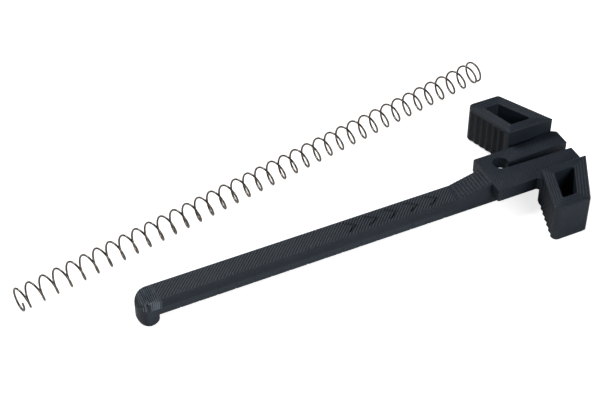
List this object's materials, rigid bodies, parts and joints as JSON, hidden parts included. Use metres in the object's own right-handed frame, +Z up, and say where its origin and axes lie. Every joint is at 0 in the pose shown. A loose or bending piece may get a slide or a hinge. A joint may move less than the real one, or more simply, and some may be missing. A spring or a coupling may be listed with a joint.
{
  "type": "pull handle with return spring",
  "caption": "Printed T-shaped pull bar with a hooked tip, windowed finger paddles, a flexing latch arm and a long loose compression return spring.",
  "frame": {"origin": "middle of the bar's flat underside, on its centre line", "axes": "+X along the bar from the hooked tip to the head, +Y towards the latch arm, +Z up out of the bar's top"},
  "size_m": [0.1879, 0.0873, 0.0191],
  "materials": {
    "printed_plastic": "black layer-printed filament with fine layer lines",
    "spring_wire": "drawn spring steel, slightly dull"
  },
  "bodies": {
    "bar": {"pull_bar": "printed_plastic", "fixed_paddle": "printed_plastic"},
    "latch": {"latch_arm": "printed_plastic", "latch_paddle": "printed_plastic"},
    "spring_tip": {"spring_tip_end": "spring_wire", "spring_open_turns": "spring_wire"},
    "spring_head": {"spring_head_end": "spring_wire"}
  },
  "joints": [
    {"name": "latch_flex", "type": "hinge", "parent": "bar", "child": "latch", "pos_m": [0.06465, 0.00595, 0.0065], "axis": [0, 0, 1], "range_deg": [-4.5, 0], "stiffness_Nm_per_rad": 3.2},
    {"name": "spring_lift", "type": "slide", "parent": "bar", "child": "spring_tip", "axis": [0, 0, 1], "range_m": [0, 0.05]},
    {"name": "spring_squeeze", "type": "slide", "parent": "spring_tip", "child": "spring_head", "axis": [-0.9832, -0.1805, -0.0257], "range_m": [0, 0.14], "stiffness_N_per_m": 213, "deforming": ["spring_open_turns"]}
  ]
}
